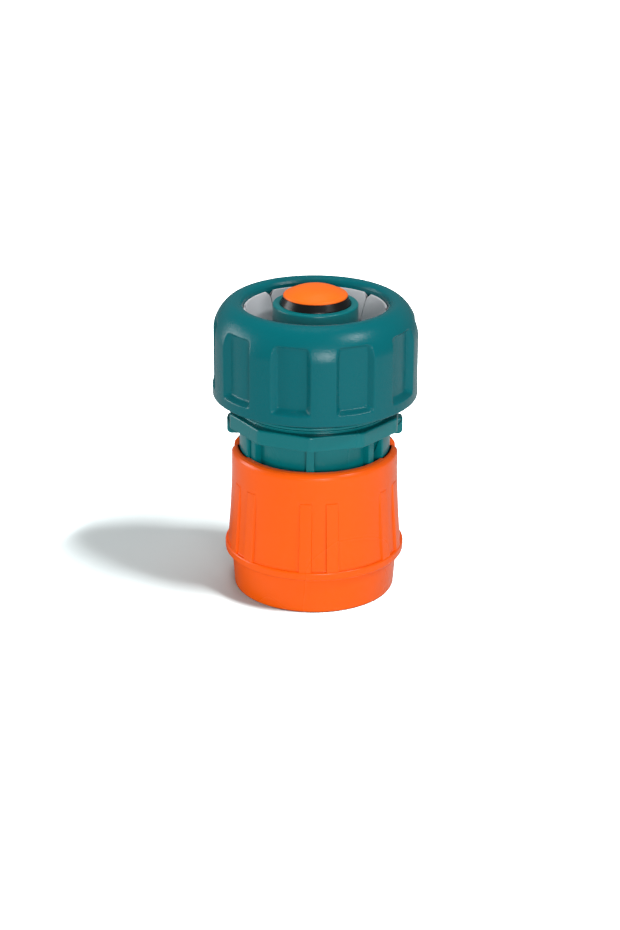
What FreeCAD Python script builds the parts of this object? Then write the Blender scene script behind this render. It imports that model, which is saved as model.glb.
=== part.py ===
"""Water-stop quick connector for a 19 mm garden hose, standing on the mouth of its release sleeve.

Frame: millimetres, Z up along the bore towards the hose, origin at the middle of the sleeve's foot.
An azimuth is counted from the front (-Y) towards the right (+X).
"""

import FreeCAD, Part
import math
import os

from FreeCAD import Vector

UP = Vector(0, 0, 1)
CENTRE = Vector(0, 0, 0)

# Fits between the pieces
slide_gap = 0.15          # between faces that slide on each other
seat_gap = 0.1            # between faces that only rest on each other
press_gap = 0.02          # between pieces that are pushed together for good

# Hose tail and its valve seat
tail_r = 9.48
tail_bore_r = 7.2
tail_top_z = 66.8
tail_lip_round = 0.45
seat_mouth_r = 8.0
seat_depth = 1.1
barb_rise = 0.45
barb_pitch = 2.6
barb_count = 3

# Adaptor socket, in the nose
socket_bore_r = 8.0
socket_bore_length = 8.0
socket_shoulder_z = 15.5
socket_lead = 0.4
collar_bore_r = 10.8
mouth_chamfer = 1.0
nose_foot_z = 1.2
nose_foot_r = 16.3
nose_foot_top_z = 7.9
nose_r = 14.3
nose_shoulder_z = 22.0
spigot_r = 11.6
spigot_top_z = 31.0
chamber_r = 8.8

# Seal between nose and body
seal_ring_wire_r = 0.8
seal_groove_depth = 1.6
seal_groove_width = 2.2
seal_groove_z = 26.6

# Body
chamber_top_z = 37.0
bore_cone_z = 40.5
neck_r = 14.75
neck_foot_z = 31.5
thread_core_r = 17.2
thread_depth = 0.8
boss_bore_r = 14.8
boss_top_z = 56.5
trough_floor_z = 48.2
flange_corner_r = 19.6
flange_low_z = 39.1
flange_height = 3.4
flange_corner_round = 2.2
flange_bevel = 0.35
flange_sides = 8
body_phase = -3.5         # azimuth of the flange's front corner and of the front rib
ear_inner_r = 16.9
ear_low_z = 35.8
ear_width_deg = 30.0
ear_round = 1.0
lug_r = 16.9
lug_low_z = 32.0
lug_width_deg = 56.0
rib_width = 1.85
rib_spread_deg = 50.0

# Hose nut
nut_r = 22.86
nut_bottom_z = 46.3
nut_top_z = 67.4
nut_bottom_round = 0.6
dome_inset = 4.72
dome_drop = 7.12
dome_power = 1.66         # exponent of the dome's superellipse, 2 is a plain ellipse
lip_r = 15.9
lip_round = 1.1
pocket_count = 10
pocket_azimuth = 22.5
pocket_depth = 1.45
pocket_floor_deg = 17.5
pocket_mouth_deg = 22.5
pocket_low_z = 48.4
pocket_ledge_rise = 1.2
bead_rise = 0.75
bead_z = 56.7

# Grip collet
collet_foot_gap = 0.15
collet_bore_r = 13.4
collet_mouth_r = 15.45
collet_flange_r = 17.75
collet_flange_low_z = 57.3
collet_cone_low_z = 59.2
collet_top_z = 65.4
collet_rim_r = 15.85
collet_funnel_z = 59.6
finger_count = 8
finger_phase = 1.0
finger_slot = 0.9
finger_root_z = 52.0
finger_notch = 3.2
finger_notch_depth = 1.5

# Water-stop valve
head_r = 7.13
head_rim_z = 68.35
head_top_z = 70.6
head_under_z = 67.9
head_edge_round = 0.75
stem_r = 1.9
stem_collar_r = 6.2
stem_collar_thick = 0.9
seal_core_r = 5.0
seal_top_r = 7.0
seal_lip_z = 66.72
guide_hub_r = 3.6
guide_low_z = 46.0
guide_height = 4.5
guide_rib_count = 3
guide_rib = 1.4
pusher_low_z = 24.7
pusher_fin_top_z = 30.2
pusher_fin_r = 8.5
pusher_fin = 1.4
pusher_fin_count = 4
pusher_hub_r = 3.1
pusher_plate_r = 4.6
pusher_plate_z = 32.0
pusher_plate_thick = 1.2
stem_foot_z = 26.5
valve_wire_r = 0.35
valve_coil_r = 2.75
valve_turns = 6.0

# Release sleeve
sleeve_height = 33.35
foot_r = 18.2
foot_round = 0.5
skirt_top_r = 18.8
ring_low_z = 8.7
ring_height = 1.95
ring_r = 20.3
ring_edge = 0.35
wall_foot_r = 19.65
wall_bend_r = 19.1
wall_bend_z = 18.5
wall_top_r = 18.7
wall_straight_z = 28.0
rim_bore_r = 16.42
rim_round = 1.35
rim_inner_round = 0.4
spring_ledge_z = 14.5
sleeve_mouth_chamfer = 0.4
sleeve_travel = 4.4
notch_depth = 2.0
notch_width_deg = 38.0
rib_pairs = 6
rib_pair_azimuth = 3.0
grip_rib_deg = 8.2
grip_rib_step_deg = 17.7
grip_rib_top_z = 26.5
grip_rib_rise = 0.4

# Springs
wire_sides = 6

# Sleeve spring
sleeve_wire_r = 0.6
sleeve_turns = 6.0

# Locking claws
claw_count = 4
claw_azimuth = 45.0
claw_lift = 1.4
claw_height = 4.5
claw_facet = 1.5
claw_tooth_r = 9.4
claw_width = 6.4
claw_shoulder = 1.1
claw_shoulder_r = 12.85
claw_lead_z = 2.9

# Worked-out places that several pieces share
socket_bore_low_z = socket_shoulder_z + socket_lead
chamber_low_z = socket_bore_low_z + socket_bore_length
claw_low_z = nose_foot_top_z + seat_gap
claw_top_z = claw_low_z + claw_height
window_top_z = claw_top_z + 2 * seat_gap
cam_slope = claw_lift / sleeve_travel
land_r = nose_r + slide_gap
cam_top_z = claw_top_z
cam_low_z = nose_foot_top_z + seat_gap
cam_low_r = land_r + cam_slope * (cam_top_z - cam_low_z)
mouth_bore_r = nose_foot_r + slide_gap
nut_bore_r = thread_core_r + thread_depth + slide_gap
rib_r = rim_bore_r - slide_gap


def corner(r, z):
    """Point of the r-z plane, which stands on +X."""
    return Vector(r, 0, z)


def outline(start, *steps):
    """Closed wire in the r-z plane; a step is a corner, or an arc given as (point on it, its end)."""
    here = corner(*start)
    edges = []
    for step in steps + (start,):
        if isinstance(step[0], tuple):
            end = corner(*step[1])
            edges.append(Part.Arc(here, corner(*step[0]), end).toShape())
        else:
            end = corner(*step)
            edges.append(Part.makeLine(here, end))
        here = end
    return Part.Wire(edges)


def spun(wire):
    """Solid of revolution of a closed wire about Z."""
    return Part.Face(wire).revolve(CENTRE, UP, 360)


def facing(shape, azimuth):
    """Copy of a shape made along +X, turned to face an azimuth."""
    copy = shape.copy()
    copy.rotate(CENTRE, UP, azimuth - 90)
    return copy


def sector(inner_r, outer_r, low_z, high_z, azimuth, width_deg):
    """Part of a ring, as wide as an angle and centred on an azimuth."""
    height = high_z - low_z
    base = Vector(0, 0, low_z)
    whole = Part.makeCylinder(outer_r, height, base, UP, width_deg)
    whole = whole.cut(Part.makeCylinder(inner_r, height, base, UP))
    whole.rotate(CENTRE, UP, -width_deg / 2)
    return facing(whole, azimuth)


def beam(inner_r, outer_r, width, low_z, high_z, azimuth):
    """Straight radial bar."""
    bar = Part.makeBox(outer_r - inner_r, width, high_z - low_z, Vector(inner_r, -width / 2, low_z))
    return facing(bar, azimuth)


def tube(inner_r, outer_r, low_z, high_z):
    """Plain ring."""
    return spun(outline((inner_r, low_z), (outer_r, low_z), (outer_r, high_z), (inner_r, high_z)))


def fused(shapes):
    """One solid out of several that overlap."""
    whole = shapes[0].fuse(shapes[1:])
    return whole.removeSplitter()


def even(count, first):
    """Azimuths of copies spread evenly round the axis."""
    return [first + index * 360.0 / count for index in range(count)]


def coil(mean_r, wire_r, low_z, high_z, turns):
    """Compression spring whose wire's outside runs from one height to the other.

    Its line is half circles, each tilted to climb half a pitch, which meet in one direction. The wire has
    a many-sided section, and the solid is sewn from the faces that its edges sweep.
    """
    half_turns = int(round(2 * turns))
    rise = (high_z - low_z - 2 * wire_r) / half_turns
    points = []
    for index in range(wire_sides + 1):
        angle = 2 * math.pi * index / wire_sides
        out = mean_r + wire_r * math.cos(angle)
        points.append(corner(out, low_z + wire_r * (1 + math.sin(angle))))
    section = Part.Face(Part.makePolygon(points))
    faces = [section]
    side = 1
    for index in range(half_turns):
        middle = Vector(0, 0, low_z + wire_r + rise * (index + 0.5))
        axis = Vector(side * rise / 2, 0, mean_r)
        faces += [edge.revolve(middle, axis, 180) for edge in section.Edges]
        section = section.copy()
        section.rotate(middle, axis, 180)
        side = -side
    faces.append(section)
    shell = Part.makeShell(faces)
    shell.sewShape()
    spring = Part.makeSolid(shell)
    if spring.Volume < 0:
        spring.reverse()
    return spring


def cap_middle(edge_r, edge_z, top_z):
    """Point half way along the round cap that runs from an edge to a level top on the axis."""
    rise = top_z - edge_z
    ball_r = (edge_r ** 2 + rise ** 2) / (2 * rise)
    half = math.asin(edge_r / ball_r) / 2
    return ball_r * math.sin(half), top_z - ball_r * (1 - math.cos(half))


def dome_points():
    """Superellipse from the nut's side to its top land, lowest point first."""
    steps = 8
    points = []
    for step in range(steps + 1):
        angle = math.pi / 2 * step / steps
        out = math.cos(angle) ** (2 / dome_power) if step < steps else 0.0
        rise = math.sin(angle) ** (2 / dome_power)
        points.append(corner(nut_r - dome_inset * (1 - out), nut_top_z - dome_drop * (1 - rise)))
    return points


def nut_blank():
    """Turned form of the nut: domed outside, thread bore, collet bead and closing cone inside."""
    side_top_z = nut_top_z - dome_drop
    half = math.sqrt(0.5)
    dome = Part.BSplineCurve()
    dome.interpolate(dome_points())
    chamfer = 0.5
    relief_r = collet_flange_r + slide_gap
    bead_r = nut_bore_r - bead_rise
    cone_top_r = collet_rim_r + slide_gap
    inner = [
        (lip_r + lip_round, nut_top_z),
        (lip_r, nut_top_z - lip_round),
        (cone_top_r, collet_top_z + 0.2),
        (relief_r, collet_cone_low_z + 0.2),
        (relief_r, bead_z + 2 * bead_rise),
        (bead_r, bead_z + bead_rise),
        (bead_r, bead_z + bead_rise / 2),
        (nut_bore_r, bead_z - bead_rise / 4),
        (nut_bore_r, nut_bottom_z + chamfer),
        (nut_bore_r + chamfer, nut_bottom_z),
        (nut_r - nut_bottom_round, nut_bottom_z),
    ]
    edges = [dome.toShape()]
    edges.append(Part.makeLine(corner(nut_r - dome_inset, nut_top_z), corner(*inner[0])))
    lip_middle = (lip_r + lip_round * (1 - half), nut_top_z - lip_round * (1 - half))
    edges.append(Part.Arc(corner(*inner[0]), corner(*lip_middle), corner(*inner[1])).toShape())
    for low, high in zip(inner[1:-1], inner[2:]):
        edges.append(Part.makeLine(corner(*low), corner(*high)))
    foot_middle = (
        nut_r - nut_bottom_round * (1 - half),
        nut_bottom_z + nut_bottom_round * (1 - half),
    )
    side_foot = corner(nut_r, nut_bottom_z + nut_bottom_round)
    edges.append(Part.Arc(corner(*inner[-1]), corner(*foot_middle), side_foot).toShape())
    edges.append(Part.makeLine(side_foot, corner(nut_r, side_top_z)))
    return spun(Part.Wire(Part.__sortEdges__(edges)))


def pocket_tool():
    """Cutter of one finger pocket: a wedge with slanting sides over a sloping ledge."""
    floor_r = nut_r - pocket_depth
    outside_r = nut_r + 4 * pocket_depth
    slant = math.radians(pocket_mouth_deg - pocket_floor_deg) / 2 / pocket_depth
    floor_half = math.radians(pocket_floor_deg) / 2
    outer_half = floor_half + slant * (outside_r - floor_r)
    floor_near = Vector(floor_r * math.cos(floor_half), -floor_r * math.sin(floor_half), 0)
    floor_far = Vector(floor_near.x, -floor_near.y, 0)
    outer_near = Vector(outside_r * math.cos(outer_half), -outside_r * math.sin(outer_half), 0)
    outer_far = Vector(outer_near.x, -outer_near.y, 0)
    edges = [
        Part.Arc(floor_near, Vector(floor_r, 0, 0), floor_far).toShape(),
        Part.makeLine(floor_far, outer_far),
        Part.makeLine(outer_far, outer_near),
        Part.makeLine(outer_near, floor_near),
    ]
    wedge = Part.Face(Part.Wire(edges)).extrude(Vector(0, 0, 2 * nut_top_z))
    ledge_slope = pocket_ledge_rise / pocket_depth
    high_z = nut_top_z + pocket_depth
    band = outline(
        (floor_r - pocket_depth, pocket_low_z + pocket_ledge_rise + ledge_slope * pocket_depth),
        (outside_r, pocket_low_z - ledge_slope * (outside_r - nut_r)),
        (outside_r, high_z),
        (floor_r - pocket_depth, high_z),
    )
    return wedge.common(spun(band))


def make_hose_nut():
    tool = pocket_tool()
    pockets = [facing(tool, azimuth) for azimuth in even(pocket_count, pocket_azimuth)]
    return nut_blank().cut(Part.makeCompound(pockets))


def make_grip_collet():
    foot_z = trough_floor_z + collet_foot_gap
    stem_outer_r = boss_bore_r - slide_gap
    blank = spun(outline(
        (collet_bore_r, foot_z),
        (stem_outer_r, foot_z),
        (stem_outer_r, collet_flange_low_z - 0.3),
        (collet_flange_r - bead_rise, collet_flange_low_z - 0.3),
        (collet_flange_r, collet_flange_low_z + bead_rise),
        (collet_flange_r, collet_cone_low_z),
        (collet_rim_r, collet_top_z),
        (collet_mouth_r, collet_top_z),
        (collet_bore_r, collet_funnel_z),
    ))
    slots = []
    reach_r = collet_flange_r + 1.0
    for azimuth in even(finger_count, finger_phase):
        slots.append(beam(collet_bore_r / 2, reach_r, finger_slot, finger_root_z, collet_top_z + 1, azimuth))
        half = finger_notch / 2
        notch = Part.makePolygon([
            Vector(0, -half, collet_top_z),
            Vector(0, -finger_slot / 2, collet_top_z - finger_notch_depth),
            Vector(0, finger_slot / 2, collet_top_z - finger_notch_depth),
            Vector(0, half, collet_top_z),
            Vector(0, half, collet_top_z + 1),
            Vector(0, -half, collet_top_z + 1),
            Vector(0, -half, collet_top_z),
        ])
        slots.append(facing(Part.Face(notch).extrude(Vector(reach_r, 0, 0)), azimuth))
    return blank.cut(Part.makeCompound(slots))


def flange_plate():
    """Eight-sided plate with rounded corners and a bevelled upper edge."""
    top_z = flange_low_z + flange_height
    turn = 360.0 / flange_sides
    points = []
    for index in range(flange_sides + 1):
        angle = math.radians(index * turn)
        along = flange_corner_r * math.cos(angle)
        across = flange_corner_r * math.sin(angle)
        points.append(Vector(along, across, flange_low_z))
    plate = Part.Face(Part.makePolygon(points)).extrude(Vector(0, 0, flange_height))
    upright = [edge for edge in plate.Edges if edge.BoundBox.ZLength > flange_height / 2]
    plate = plate.makeFillet(flange_corner_round, upright)
    top_edges = [edge for edge in plate.Edges if edge.BoundBox.ZMin > top_z - 1e-3]
    plate = plate.makeChamfer(flange_bevel, top_edges)
    plate = plate.cut(Part.makeCylinder(neck_r - 1.0, flange_height, Vector(0, 0, flange_low_z)))
    return facing(plate, body_phase)


def flange_ears():
    """Two ears that hang from the flange over the sleeve's notches."""
    half = math.sqrt(0.5)
    outer_r = flange_corner_r - 0.25
    round_middle = (outer_r - ear_round * (1 - half), ear_low_z + ear_round * (1 - half))
    profile = spun(outline(
        (ear_inner_r, flange_low_z + 1),
        (ear_inner_r, ear_low_z + 0.4),
        (outer_r - ear_round, ear_low_z),
        (round_middle, (outer_r, ear_low_z + ear_round)),
        (outer_r, flange_low_z + 1),
    ))
    ears = []
    for azimuth in (body_phase + 90, body_phase - 90):
        wedge = sector(ear_inner_r / 2, outer_r + 2, ear_low_z - 1, flange_low_z + 2, azimuth, ear_width_deg)
        ears.append(profile.common(wedge))
    return ears


def neck_ribs():
    """Narrow ribs and wide guide lugs under the flange, which carry the sleeve spring's top coil."""
    parts = []
    root_r = neck_r - 1.0
    top_z = flange_low_z + 0.5
    for side in (0, 180):
        for spread in (-rib_spread_deg, 0, rib_spread_deg):
            azimuth = body_phase + side + spread
            parts.append(beam(root_r, rib_r, rib_width, neck_foot_z, top_z, azimuth))
        lug_azimuth = body_phase + side + 90
        parts.append(sector(root_r, lug_r, lug_low_z, top_z, lug_azimuth, lug_width_deg))
    return parts


def valve_guide():
    """Hub held in the bore by thin ribs, which guides the valve's stem."""
    high_z = guide_low_z + guide_height
    hole_r = stem_r + seat_gap
    hub = tube(hole_r, guide_hub_r, guide_low_z, high_z)
    middle_r = (hole_r + guide_hub_r) / 2
    ribs = []
    for azimuth in even(guide_rib_count, 0):
        ribs.append(beam(middle_r, tail_bore_r + 0.5, guide_rib, guide_low_z, high_z, azimuth))
    return [hub] + ribs


def hose_barbs():
    """Saw-toothed rings low on the hose tail."""
    rings = []
    for index in range(barb_count):
        foot_z = trough_floor_z + 0.8 + index * barb_pitch
        rings.append(spun(outline(
            (tail_r - 0.5, foot_z),
            (tail_r + barb_rise, foot_z),
            (tail_r, foot_z + barb_pitch * 0.7),
            (tail_r - 0.5, foot_z + barb_pitch * 0.7),
        )))
    return rings


def make_main_body():
    half = math.sqrt(0.5)
    lip = tail_lip_round
    lip_middle = (tail_r - lip * (1 - half), tail_top_z - lip * (1 - half))
    lip_end = (tail_r - lip, tail_top_z)
    turned = spun(outline(
        (spigot_r + press_gap, nose_shoulder_z + seat_gap),
        (nose_r, nose_shoulder_z + seat_gap),
        (nose_r, neck_foot_z),
        (neck_r, neck_foot_z),
        (neck_r, flange_low_z + 0.5),
        (thread_core_r, flange_low_z + 0.5),
        (thread_core_r, boss_top_z - 0.6),
        (thread_core_r - 0.6, boss_top_z),
        (boss_bore_r, boss_top_z),
        (boss_bore_r, trough_floor_z),
        (tail_r, trough_floor_z),
        (tail_r, tail_top_z - lip),
        (lip_middle, lip_end),
        (seat_mouth_r, tail_top_z),
        (tail_bore_r, tail_top_z - seat_depth),
        (tail_bore_r, bore_cone_z),
        (chamber_r, chamber_top_z),
        (chamber_r, spigot_top_z + seat_gap),
        (spigot_r + press_gap, spigot_top_z + seat_gap),
    ))
    return fused([turned, flange_plate()] + flange_ears() + neck_ribs() + valve_guide() + hose_barbs())


def make_coupling_nose():
    groove_top_z = seal_groove_z + seal_groove_width
    groove_r = spigot_r - seal_groove_depth
    edge = 0.4
    blank = spun(outline(
        (collar_bore_r + mouth_chamfer, nose_foot_z),
        (nose_foot_r - edge, nose_foot_z),
        (nose_foot_r, nose_foot_z + edge),
        (nose_foot_r, nose_foot_top_z),
        (nose_r, nose_foot_top_z),
        (nose_r, nose_shoulder_z),
        (spigot_r, nose_shoulder_z),
        (spigot_r, seal_groove_z),
        (groove_r, seal_groove_z),
        (groove_r, groove_top_z),
        (spigot_r, groove_top_z),
        (spigot_r, spigot_top_z - edge),
        (spigot_r - edge, spigot_top_z),
        (chamber_r, spigot_top_z),
        (chamber_r, chamber_low_z),
        (socket_bore_r, chamber_low_z),
        (socket_bore_r, socket_bore_low_z),
        (socket_bore_r + socket_lead, socket_shoulder_z),
        (collar_bore_r, socket_shoulder_z),
        (collar_bore_r, nose_foot_z + mouth_chamfer),
    ))
    windows = []
    slot = claw_width + 2 * seat_gap
    step = slot + 2 * claw_shoulder
    step_r = claw_shoulder_r - seat_gap
    for azimuth in even(claw_count, claw_azimuth):
        windows.append(beam(collar_bore_r / 2, nose_foot_r, slot, nose_foot_top_z, window_top_z, azimuth))
        windows.append(beam(step_r, nose_foot_r, step, nose_foot_top_z, window_top_z, azimuth))
    return blank.cut(Part.makeCompound(windows))


def make_body_o_ring():
    mean_r = spigot_r - seal_groove_depth + press_gap + seal_ring_wire_r
    return Part.makeTorus(mean_r, seal_ring_wire_r, Vector(0, 0, seal_groove_z + seal_groove_width / 2))


def make_valve_stem():
    half = math.sqrt(0.5)
    edge = head_edge_round
    crown_r = head_r - edge
    crown_z = head_rim_z + edge
    edge_middle = (head_r - edge * (1 - half), head_rim_z + edge * half)
    crown_middle = cap_middle(crown_r, crown_z, head_top_z)
    seal_foot_z = tail_top_z - seat_depth
    collar_low_z = seal_foot_z - stem_collar_thick
    return spun(outline(
        (0, stem_foot_z),
        (stem_r - 0.4, stem_foot_z),
        (stem_r, stem_foot_z + 0.4),
        (stem_r, collar_low_z - 1.2),
        (stem_r + 1.2, collar_low_z),
        (stem_collar_r, collar_low_z),
        (stem_collar_r, seal_foot_z),
        (seal_core_r, seal_foot_z),
        (seal_core_r, head_under_z),
        (head_r - 0.25, head_under_z),
        (head_r, head_under_z + 0.25),
        (head_r, head_rim_z),
        (edge_middle, (crown_r, crown_z)),
        (crown_middle, (0, head_top_z)),
    ))


def make_valve_seal():
    seal_foot_z = tail_top_z - seat_depth
    seat_slope = (seat_mouth_r - tail_bore_r) / seat_depth
    foot_r = tail_bore_r - press_gap * 3
    lip_r = foot_r + seat_slope * (seal_lip_z - seal_foot_z)
    return spun(outline(
        (seal_core_r + press_gap, seal_foot_z + press_gap),
        (foot_r, seal_foot_z + press_gap),
        (lip_r, seal_lip_z),
        (lip_r - 0.1, seal_lip_z + 0.25),
        (seal_top_r, head_under_z - press_gap),
        (seal_core_r + press_gap, head_under_z - press_gap),
    ))


def make_valve_pusher():
    plate_top_z = pusher_plate_z + pusher_plate_thick
    hub = spun(outline(
        (0, pusher_low_z),
        (pusher_hub_r - 0.6, pusher_low_z),
        (pusher_hub_r, pusher_low_z + 0.6),
        (pusher_hub_r, pusher_plate_z - 1.0),
        (pusher_plate_r, pusher_plate_z),
        (pusher_plate_r, plate_top_z),
        (0, plate_top_z),
    ))
    fins = []
    for azimuth in even(pusher_fin_count, 0):
        fin = beam(0.5, pusher_fin_r, pusher_fin, pusher_low_z, pusher_fin_top_z, azimuth)
        fins.append(fin)
    rounded = spun(outline(
        (0, pusher_low_z),
        (pusher_fin_r - 0.8, pusher_low_z),
        (pusher_fin_r, pusher_low_z + 0.8),
        (pusher_fin_r, pusher_fin_top_z - 2.0),
        (pusher_fin_r - 2.0, pusher_fin_top_z),
        (0, pusher_fin_top_z),
    ))
    cross = fused(fins).common(rounded)
    hole = Part.makeCylinder(stem_r + press_gap, plate_top_z, Vector(0, 0, stem_foot_z - seat_gap))
    return fused([hub, cross]).cut(hole)


def make_valve_spring():
    low_z = pusher_plate_z + pusher_plate_thick + press_gap
    return coil(valve_coil_r, valve_wire_r, low_z, guide_low_z - press_gap, valve_turns)


def sleeve_wall(extra):
    """Outer line of the sleeve's wall from the ring up to the rim, moved out by an amount."""
    foot = (wall_foot_r + extra, ring_low_z + ring_height)
    bend = (wall_bend_r + extra, wall_bend_z)
    top = (wall_top_r + extra, wall_straight_z)
    return foot, bend, top


def grip_ribs():
    """Pairs of low ribs whose straight crests stand off the hollow curve of the wall."""
    foot, bend, top = sleeve_wall(0)
    line = outline(
        (foot[0] - 0.8, foot[1] - 0.5),
        (foot[0] + grip_rib_rise, foot[1] - 0.5),
        (foot[0] + grip_rib_rise, foot[1]),
        (top[0] - 0.02, grip_rib_top_z),
        (top[0] - 0.8, grip_rib_top_z),
    )
    wedge = Part.Face(line).revolve(CENTRE, UP, grip_rib_deg)
    wedge.rotate(CENTRE, UP, -grip_rib_deg / 2)
    ribs = []
    for azimuth in even(rib_pairs, rib_pair_azimuth):
        for side in (-0.5, 0.5):
            ribs.append(facing(wedge, azimuth + side * grip_rib_step_deg))
    return ribs


def make_release_sleeve():
    half = math.sqrt(0.5)
    foot, bend, top = sleeve_wall(0)
    ring_top_z = ring_low_z + ring_height
    edge = ring_edge
    outer_top = (wall_top_r - rim_round, sleeve_height)
    rim_middle = (wall_top_r - rim_round * (1 - half), sleeve_height - rim_round * (1 - half))
    foot_middle = (foot_r - foot_round * (1 - half), foot_round * (1 - half))
    inner_edge = rim_inner_round
    blank = spun(outline(
        (mouth_bore_r + sleeve_mouth_chamfer, 0),
        (foot_r - foot_round, 0),
        (foot_middle, (foot_r, foot_round)),
        (skirt_top_r, ring_low_z),
        (ring_r - edge, ring_low_z),
        (ring_r, ring_low_z + edge),
        (ring_r, ring_top_z - edge),
        (ring_r - edge, ring_top_z),
        foot,
        (bend, top),
        (wall_top_r, sleeve_height - rim_round),
        (rim_middle, outer_top),
        (rim_bore_r + inner_edge, sleeve_height),
        (rim_bore_r, sleeve_height - inner_edge),
        (rim_bore_r, spring_ledge_z),
        (land_r, spring_ledge_z),
        (land_r, cam_top_z),
        (cam_low_r, cam_low_z),
        (mouth_bore_r, cam_low_z),
        (mouth_bore_r, sleeve_mouth_chamfer),
    ))
    sleeve = fused([blank] + grip_ribs())
    key_r = lug_r + 2 * slide_gap
    key_low_z = lug_low_z - sleeve_travel - 0.5
    key_deg = lug_width_deg + 4.0
    notch_z = sleeve_height - notch_depth
    cuts = []
    for azimuth in (body_phase + 90, body_phase - 90):
        cuts.append(sector(neck_r, key_r, key_low_z, sleeve_height + 1, azimuth, key_deg))
        cuts.append(sector(neck_r, ring_r + 1, notch_z, sleeve_height + 1, azimuth, notch_width_deg))
    return sleeve.cut(Part.makeCompound(cuts))


def make_sleeve_spring():
    mean_r = nose_r + slide_gap + 0.35 + sleeve_wire_r
    return coil(mean_r, sleeve_wire_r, spring_ledge_z + press_gap, neck_foot_z - press_gap, sleeve_turns)


def make_claw(azimuth):
    """Claw in its window: a tooth inwards, shoulders that stop it, and a back cut to the sleeve's cam."""
    back_top_r = land_r - slide_gap
    back_low_r = back_top_r + cam_slope * claw_facet
    facet_z = claw_top_z - claw_facet
    lead_top_z = claw_low_z + claw_lead_z
    tooth = spun(outline(
        (collar_bore_r, claw_low_z),
        (back_low_r, claw_low_z),
        (back_low_r, facet_z),
        (back_top_r, claw_top_z),
        (claw_tooth_r, claw_top_z),
        (claw_tooth_r, lead_top_z),
    ))
    shank = Part.makeBox(nose_foot_r, claw_width, nose_foot_r, Vector(0, -claw_width / 2, 0))
    wide = claw_width + 2 * claw_shoulder
    shoulders = Part.makeBox(
        nose_foot_r - claw_shoulder_r, wide, nose_foot_r, Vector(claw_shoulder_r, -wide / 2, 0)
    )
    return facing(tooth.common(fused([shank, shoulders])), azimuth)


def make_all():
    pieces = {
        "hose_nut": make_hose_nut(),
        "grip_collet": make_grip_collet(),
        "main_body": make_main_body(),
        "coupling_nose": make_coupling_nose(),
        "body_o_ring": make_body_o_ring(),
        "valve_stem": make_valve_stem(),
        "valve_seal": make_valve_seal(),
        "valve_pusher": make_valve_pusher(),
        "valve_spring": make_valve_spring(),
        "release_sleeve": make_release_sleeve(),
        "sleeve_spring": make_sleeve_spring(),
    }
    for index, azimuth in enumerate(even(claw_count, claw_azimuth), start=1):
        pieces["locking_claw_%d" % index] = make_claw(azimuth)
    return pieces


os.makedirs("parts", exist_ok=True)
for name, shape in make_all().items():
    solid = shape.Solids[0] if len(shape.Solids) == 1 else shape
    print(name, "solids", len(shape.Solids), "valid", shape.isValid(), "volume", round(shape.Volume, 1))
    solid.exportStep("parts/%s.step" % name)
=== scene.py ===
"""Garden hose quick connector with a water stop: its pieces, their finishes and a plain studio.

The file is laid out as a Blender add-on. Shapes are worked out in millimetres, and become metres when a
mesh is made. An azimuth is counted in degrees from the front (-Y) towards the right (+X).
"""

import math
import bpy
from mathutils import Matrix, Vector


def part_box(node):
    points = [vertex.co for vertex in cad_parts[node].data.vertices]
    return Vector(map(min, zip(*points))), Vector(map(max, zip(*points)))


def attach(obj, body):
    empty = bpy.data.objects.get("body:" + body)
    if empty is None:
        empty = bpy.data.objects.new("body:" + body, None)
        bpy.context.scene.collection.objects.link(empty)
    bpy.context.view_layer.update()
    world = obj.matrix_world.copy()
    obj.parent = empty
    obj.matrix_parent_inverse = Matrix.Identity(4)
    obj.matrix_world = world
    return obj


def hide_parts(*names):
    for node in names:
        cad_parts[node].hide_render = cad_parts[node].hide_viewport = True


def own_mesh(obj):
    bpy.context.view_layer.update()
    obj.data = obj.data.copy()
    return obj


bl_info = {
    "name": "Hose Quick Connector",
    "version": (1, 0, 0),
    "blender": (4, 5, 0),
    "location": "View3D > Sidebar > Connector",
    "description": "Builds a garden hose quick connector, its finishes and a plain studio",
    "category": "Add Mesh",
}

import bmesh
import bpy
import numpy as np
from mathutils import Quaternion, Vector

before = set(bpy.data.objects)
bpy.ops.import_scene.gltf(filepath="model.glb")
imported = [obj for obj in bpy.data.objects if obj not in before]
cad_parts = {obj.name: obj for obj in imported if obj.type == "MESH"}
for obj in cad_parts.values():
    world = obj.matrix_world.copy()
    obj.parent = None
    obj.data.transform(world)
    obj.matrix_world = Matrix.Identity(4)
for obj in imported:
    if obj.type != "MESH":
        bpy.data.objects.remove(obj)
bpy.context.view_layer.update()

MM = 0.001
SHARP_DEG = 38.0          # a harder turn between two faces is drawn as an edge
MERGE = 2e-7              # points closer than this many metres are merged
ARC_STEPS = 5             # points along each rounded corner of an outline
HOLD = 0.08               # distance of the support points beside a rounding


def extent(node):
    """Outer radius, lowest and highest point of a turned node, in millimetres."""
    low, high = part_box(node)
    return max(high.x, high.y, -low.x, -low.y) / MM, low.z / MM, high.z / MM


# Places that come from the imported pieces
NUT_R, NUT_LOW, NUT_TOP = extent("hose_nut")
SLEEVE_R, SLEEVE_LOW, SLEEVE_TOP = extent("release_sleeve")
BODY_LOW, BODY_TOP = extent("main_body")[1:]
COLLET_R, COLLET_LOW, COLLET_TOP = extent("grip_collet")
HEAD_R, STEM_LOW, HEAD_TOP = extent("valve_stem")
SEAL_R, SEAL_LOW = extent("valve_seal")[:2]

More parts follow.
